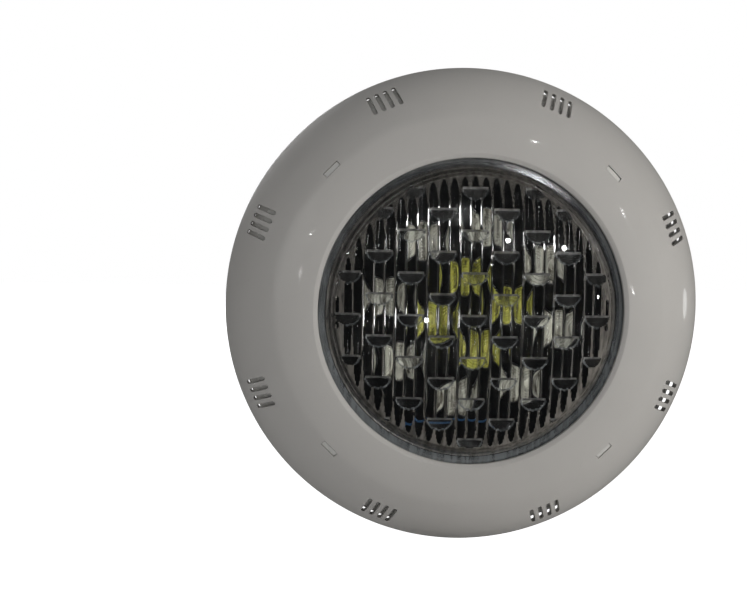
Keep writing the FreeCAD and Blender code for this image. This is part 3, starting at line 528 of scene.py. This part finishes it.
SMOOTH, EDGED, SIDED, PRISMATIC, RIMMED = range(5)     # places in LENS_FINISHES
BAND_FLAT = 8                            # the span of the band that is its flat top


def dome(radius, top=DOME_TOP):
    return top - DOME_RADIUS + math.sqrt(DOME_RADIUS ** 2 - radius ** 2)


def prism_here(x, z):
    """How far the half-moon prism under this spot stands in, how fully it is there, and
    whether the spot is on its upper ledge."""
    k = round(x / COLUMN)
    across = (x - k * COLUMN) / PRISM_HALF
    n = math.floor((ROW_START + LEDGE - z) / ROW)
    if (k + n) % 2:
        n -= 1
    down = ROW_START - n * ROW - z
    if abs(across) >= 1 or down > PRISM_TALL:
        return 0.0, 0.0, False
    crown = PRISM_HIGH * (1 - PRISM_CROWN * across ** 2)
    if down < 0:
        ends = min(1.0, (1 - abs(across)) * LEDGE_STEEP)
        return crown, ends * (1 + down / LEDGE), True
    inset = 1 - math.hypot(across, down / PRISM_TALL)
    share = max(0.0, min(1.0, inset * RIM_STEEP))
    return crown * (1 - PRISM_FALL * down / PRISM_TALL), share, False


def bowl(radius):
    """The smooth side of the lens, inside."""
    skin = dome(radius, DOME_TOP - SKIN)
    if radius > BOWL_START:
        skin -= (radius - BOWL_START) * BOWL_SLOPE
    if radius > BOWL_WALL:
        skin -= (radius - BOWL_WALL) ** 2 * BOWL_CURL
    return max(LENS_FLOOR, skin)


def lens_inside(x, z):
    """Depth of the inner side, and which of its features is there."""
    radius = math.hypot(x, z)
    across = x / FLUTE - 0.5
    across -= math.floor(across) + 0.5
    skin = dome(radius, DOME_TOP - SKIN)
    flute = skin - FLUTE_SAG * (1 - (2 * across) ** 2)
    height, share, ledge = prism_here(x, z)
    wedge = skin - height
    if radius < OPTIC_SPREAD:
        wedge = max(wedge, OPTIC_CLEAR)
    inside = flute + (wedge - flute) * share
    side = bowl(radius)
    if side <= inside + 1e-6:
        return side, "side"
    if share and ledge:
        return inside, "ledge"
    if share > 0.99:
        return inside, "prism"
    return inside, "rim" if share else "flute"


def inner_grid():
    """The grid of the inner side: each point's number by its line and step, the points,
    and the feature at each."""
    step_z = ROW / ROW_STEPS
    first = -math.ceil(SEAM_RADIUS / FLUTE)
    lines = [(k + 0.5) * FLUTE + cut for k in range(first, -first) for cut in FLUTE_CUTS]
    up = int(SEAM_RADIUS / step_z) + 3
    index, points, kinds = {}, [], []
    for i, x in enumerate(lines):
        for j in range(-up, up + 1):
            z = ROW_START + j * step_z
            if math.hypot(x, z) < SEAM_RADIUS:
                index[i, j] = len(points)
                depth, kind = lens_inside(x, z)
                points.append((x, z, depth))
                kinds.append(kind)
    return index, points, kinds


def look_of(found):
    """The finish of a face whose corners stand on the features found."""
    if found.count("side") >= 3:
        return SIDED
    if found.count("ledge") >= 2:
        return EDGED
    if found.count("rim") >= 2:
        return RIMMED
    if found.count("prism") >= 2:
        return PRISMATIC
    return SMOOTH


def grid_faces(index, kinds):
    """The grid's faces, the finish of each, and the points on its ragged outline."""
    faces, looks, sides = [], [], set()
    for i, j in index:
        corners = [(i, j), (i + 1, j), (i + 1, j + 1), (i, j + 1)]
        if all(corner in index for corner in corners):
            face = tuple(index[corner] for corner in corners)
            faces.append(face)
            looks.append(look_of([kinds[v] for v in face]))
            sides.update(zip(face, face[1:] + face[:1]))
    return faces, looks, {a for a, b in sides if (b, a) not in sides}


def lens_band():
    """The lens's section from the inner grid's foot round its flange to the dome's top."""
    inner = BAND_RADIUS - SKIN
    return [(inner, LENS_FLOOR), (inner, FLANGE_FOOT),
            (FLANGE_RADIUS, FLANGE_FOOT), (FLANGE_RADIUS, FLANGE_TOP),
            (BAND_RADIUS, FLANGE_TOP), (BAND_RADIUS, BAND_TOP - 0.5),
            (BAND_RADIUS - 0.15, BAND_TOP - 0.15), (BAND_RADIUS - 0.5, BAND_TOP),
            (CONE_FOOT + 0.6, BAND_TOP), (CONE_FOOT + 0.1, BAND_TOP + 0.35),
            (DOME_EDGE + 0.45, DOME_EDGE_TOP - 0.8), (DOME_EDGE + 0.2, DOME_EDGE_TOP - 0.35),
            (DOME_EDGE - 0.1, DOME_EDGE_TOP - 0.08), (DOME_EDGE - 0.6, dome(DOME_EDGE - 0.6)),
            *((radius, dome(radius)) for radius in (60, 46, 32, 18, 6))]


def add_band(points, faces, looks, seam):
    """Closes the lens: the band turned about the axis, from the seam to the dome's top."""
    angles = [math.degrees(math.atan2(points[v][1], points[v][0])) for v in seam]
    ring, count = seam, len(seam)
    for row, (radius, depth) in enumerate(lens_band()):
        start = len(points)
        for degrees in angles:
            x, z = polar(radius, degrees)
            points.append((x, z, depth))
        next_ring = list(range(start, start + count))
        for k in range(count):
            n = (k + 1) % count
            faces.append((ring[k], ring[n], next_ring[n], next_ring[k]))
            looks.append(RIMMED if row == BAND_FLAT else SMOOTH)
        ring = next_ring
    points.append((0, 0, DOME_TOP))
    for k in range(count):
        faces.append((ring[k], ring[(k + 1) % count], len(points) - 1))
        looks.append(SMOOTH)


def without_loose(points, faces):
    """The points that faces use, and the faces with their new numbers."""
    kept = sorted({v for face in faces for v in face})
    fresh = {v: number for number, v in enumerate(kept)}
    return [points[v] for v in kept], [tuple(fresh[v] for v in face) for face in faces]


def make_lens():
    index, points, kinds = inner_grid()
    faces, looks, outline = grid_faces(index, kinds)
    seam = sorted(outline, key=lambda v: math.atan2(points[v][1], points[v][0]))
    for v in seam:
        x, z = points[v][0], points[v][1]
        radius = math.hypot(x, z)
        points[v] = (x / radius * SEAM_RADIUS, z / radius * SEAM_RADIUS, LENS_FLOOR)
    add_band(points, faces, looks, seam)
    points, faces = without_loose(points, faces)
    lens = make_mesh("lens_moulded", points, faces, sharp=13)
    for material in LENS_FINISHES:
        lens.data.materials.append(material)
    lens.data.polygons.foreach_set("material_index", looks)
    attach(lens, "lamp")
    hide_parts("lens")


# ------------------------------------------------------------------ optics

OPTIC_FOOT, OPTIC_TOP, OPTIC_RADIUS = 34.8, 38.4, 10.0
OUTER_PITCH, OUTER_COUNT, OUTER_TURN = 45.5, 8, -10.0
INNER_PITCH, INNER_COUNT, INNER_TURN = 19.4, 4, 12.5


def optic_profile():
    """One collimating optic: a cup whose front has a central lens in a ring of steps."""
    front = [(0.0, 37.5), (1.2, 37.4), (2.4, 37.1), (3.0, 36.9), (3.2, 37.4), (4.6, 37.6),
             (4.8, 37.1), (6.0, 37.5), (6.2, 37.0), (7.4, 37.4), (7.6, 36.9), (8.6, 37.3),
             (8.9, 38.0), (9.3, OPTIC_TOP), (9.8, OPTIC_TOP), (OPTIC_RADIUS, 38.1)]
    back = [(OPTIC_RADIUS, 37.6), (8.4, 36.6), (6.0, 35.7), (4.6, OPTIC_FOOT),
            (3.2, OPTIC_FOOT), (2.9, 35.9), (1.6, 36.4), (0.0, 36.5)]
    return front + back


def optic(centre, segments=48):
    """Points and faces of one optic, closed at the middle of its front and its back."""
    profile = optic_profile()
    points = [(0.0, 0.0, profile[0][1]), (0.0, 0.0, profile[-1][1])]
    inner = profile[1:-1]
    size = len(inner)
    faces = []
    for i in range(segments):
        x, z = polar(1.0, 360.0 * i / segments)
        points += [(x * r, z * r, depth) for r, depth in inner]
    for i in range(segments):
        here, there = 2 + i * size, 2 + ((i + 1) % segments) * size
        for k in range(size - 1):
            faces.append((here + k, here + k + 1, there + k + 1, there + k))
        faces.append((0, here, there))
        faces.append((1, there + size - 1, here + size - 1))
    return [(x + centre[0], z + centre[1], depth) for x, z, depth in points], faces


def make_optics(name, node, radius, angles, material):
    points, faces = join([optic(polar(radius, angle)) for angle in angles])
    thing = make_mesh(name, points, faces, sharp=28)
    thing.data.materials.append(material)
    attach(thing, "lamp")
    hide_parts(node)


# ------------------------------------------------------------------ studio

FLOOR_HALF, FLOOR_STEPS, FLOOR_GAP, FLOOR_GLOW = 3000.0, 24, 0.2, 0.97


def floor_material():
    """Pale, and nearly white to the camera, so that it has no horizon."""
    material, tree = new_material("pale_floor")
    place = add(tree, "ShaderNodeTexCoord")
    noise = scaled_noise(tree, place, 6.0, 3.0)
    shader = add(tree, "ShaderNodeBsdfPrincipled", Roughness=0.8)
    tint = color_mix(tree, noise.outputs["Fac"], (0.86, 0.86, 0.86, 1), (0.90, 0.90, 0.90, 1))
    tree.links.new(tint, shader.inputs["Base Color"])
    glow = add(tree, "ShaderNodeEmission", Strength=FLOOR_GLOW)
    bright = add(tree, "ShaderNodeAddShader")
    tree.links.new(shader.outputs["BSDF"], bright.inputs[0])
    tree.links.new(glow.outputs["Emission"], bright.inputs[1])
    rays = add(tree, "ShaderNodeLightPath")
    seen = add(tree, "ShaderNodeMixShader")
    tree.links.new(rays.outputs["Is Camera Ray"], seen.inputs[0])
    tree.links.new(shader.outputs["BSDF"], seen.inputs[1])
    tree.links.new(bright.outputs["Shader"], seen.inputs[2])
    finish_tree(tree, seen.outputs["Shader"])
    return material


def make_floor():
    """A floor that the ring's edge stands on. Plastic and gloss don't show it, because it
    would fill the lens with grey."""
    level = CAD_BOX[0][2] / MM - FLOOR_GAP
    spots = [FLOOR_HALF * (2 * i / FLOOR_STEPS - 1) for i in range(FLOOR_STEPS + 1)]
    points = [(x, level, -y) for x in spots for y in spots]
    faces = []
    for i in range(FLOOR_STEPS):
        for j in range(FLOOR_STEPS):
            a = i * (FLOOR_STEPS + 1) + j
            faces.append((a, a + FLOOR_STEPS + 1, a + FLOOR_STEPS + 2, a + 1))
    floor = make_mesh("floor", points, faces)
    floor.data.materials.append(floor_material())
    floor.visible_transmission = floor.visible_glossy = False


COOL = (0.9, 0.95, 1.0, 1)


def make_world():
    """White where the camera sees it, dim as a light and in gloss, and nearly dark through
    clear plastic, so that reflections stay crisp and the lens stays clear."""
    world = bpy.data.worlds.new("studio")
    world.use_nodes = True
    tree = world.node_tree
    tree.nodes.clear()
    rays = add(tree, "ShaderNodeLightPath")
    dim = add(tree, "ShaderNodeBackground", Color=COOL, Strength=0.045)
    dark = add(tree, "ShaderNodeBackground", Color=COOL, Strength=0.004)
    white = add(tree, "ShaderNodeBackground", Color=(1, 1, 1, 1), Strength=1.0)
    around = add(tree, "ShaderNodeMixShader")
    tree.links.new(rays.outputs["Is Transmission Ray"], around.inputs[0])
    tree.links.new(dim.outputs["Background"], around.inputs[1])
    tree.links.new(dark.outputs["Background"], around.inputs[2])
    both = add(tree, "ShaderNodeMixShader")
    tree.links.new(rays.outputs["Is Camera Ray"], both.inputs[0])
    tree.links.new(around.outputs["Shader"], both.inputs[1])
    tree.links.new(white.outputs["Background"], both.inputs[2])
    out = add(tree, "ShaderNodeOutputWorld")
    tree.links.new(both.outputs["Shader"], out.inputs["Surface"])
    scene.world = world


# Where the lamps point, what a lamp may show in, and places of the small lamps, in metres
# and named for what they draw: highlights on the lens, highlights on the ring, and bright
# edges inside the lens.
LAMP_AIM = Vector((0, -0.04, 0))
MATT, GLOSS, INSIDE = "diffuse", "glossy", "transmission"
LENS_SPARKS = ((0.26, -0.90, 0.19), (0.45, -0.84, 0.16), (-0.03, -0.95, -0.10),
               (0.62, -0.76, 0.0))
RING_SPARKS = ((0.37, -0.71, 0.59), (0.69, -0.65, 0.31), (0.72, -0.64, 0.24),
               (-0.50, -0.82, 0.23), (-0.52, -0.83, 0.07))
GLINTS = LENS_SPARKS[:3] + ((-0.62, -0.75, -0.20), (0.10, -0.98, 0.30))


def make_lamp(name, place, size, watts, color=(1, 1, 1), shows=(MATT, GLOSS)):
    """A round lamp at a place in metres, turned to the object. `shows` says which light it
    gives: to matt surfaces, in outer gloss, or inside clear plastic."""
    data = bpy.data.lights.new(name, "AREA")
    data.shape, data.size = "DISK", size
    data.energy, data.color = watts, color
    lamp = bpy.data.objects.new(name, data)
    lamp.location = place
    lamp.rotation_euler = (LAMP_AIM - Vector(place)).to_track_quat("-Z", "Y").to_euler()
    lamp.visible_diffuse = MATT in shows
    lamp.visible_glossy = GLOSS in shows
    lamp.visible_transmission = INSIDE in shows
    scene.collection.objects.link(lamp)


def make_lamps():
    """Soft lamps for the shape, and small ones for highlights."""
    make_lamp("key", (1.85, -0.90, -0.04), size=1.3, watts=36.0, color=(1.0, 0.985, 0.95),
              shows=(MATT,))
    make_lamp("fill", (-1.35, -1.20, 0.40), size=1.1, watts=1.8, color=(1.0, 1.0, 0.97))
    make_lamp("front", (-0.25, -1.75, 0.12), size=0.4, watts=4.5, shows=(MATT,))
    make_lamp("overhead", (0.0, -0.6, 1.2), size=1.1, watts=1.7, shows=(MATT,))
    make_lamp("back", (-0.9, 1.8, 0.9), size=1.2, watts=16.0)
    make_lamp("rim", (0.97, 0.28, -0.03), size=0.12, watts=0.12, shows=(GLOSS,))
    for i, place in enumerate(LENS_SPARKS):
        make_lamp("spark_%d" % i, place, size=0.017, watts=0.05, shows=(GLOSS,))
    for i, place in enumerate(RING_SPARKS):
        make_lamp("ring_spark_%d" % i, place, size=0.02, watts=0.06, shows=(GLOSS,))
    for i, place in enumerate(GLINTS):
        make_lamp("glint_%d" % i, place, size=0.08, watts=1.15, shows=(INSIDE,))


def set_light_paths():
    """Enough bounces to see through the lens and the optics, and no caustics."""
    scene.view_settings.view_transform = "Standard"
    scene.cycles.max_bounces = 20
    scene.cycles.transmission_bounces = 18
    scene.cycles.transparent_max_bounces = 16
    scene.cycles.glossy_bounces = 6
    scene.cycles.diffuse_bounces = 3
    scene.cycles.caustics_refractive = False
    scene.cycles.caustics_reflective = False


make_camera()
make_cover()
make_lens()
make_optics("outer_optics_moulded", "outer_optics", OUTER_PITCH,
            turns(OUTER_COUNT, OUTER_TURN), OUTER_OPTIC)
make_optics("inner_optics_moulded", "inner_optics", INNER_PITCH,
            turns(INNER_COUNT, INNER_TURN), INNER_OPTIC)
finish_nodes({"cover_ring", "lens", "outer_optics", "inner_optics"})
make_floor()
make_world()
make_lamps()
set_light_paths()
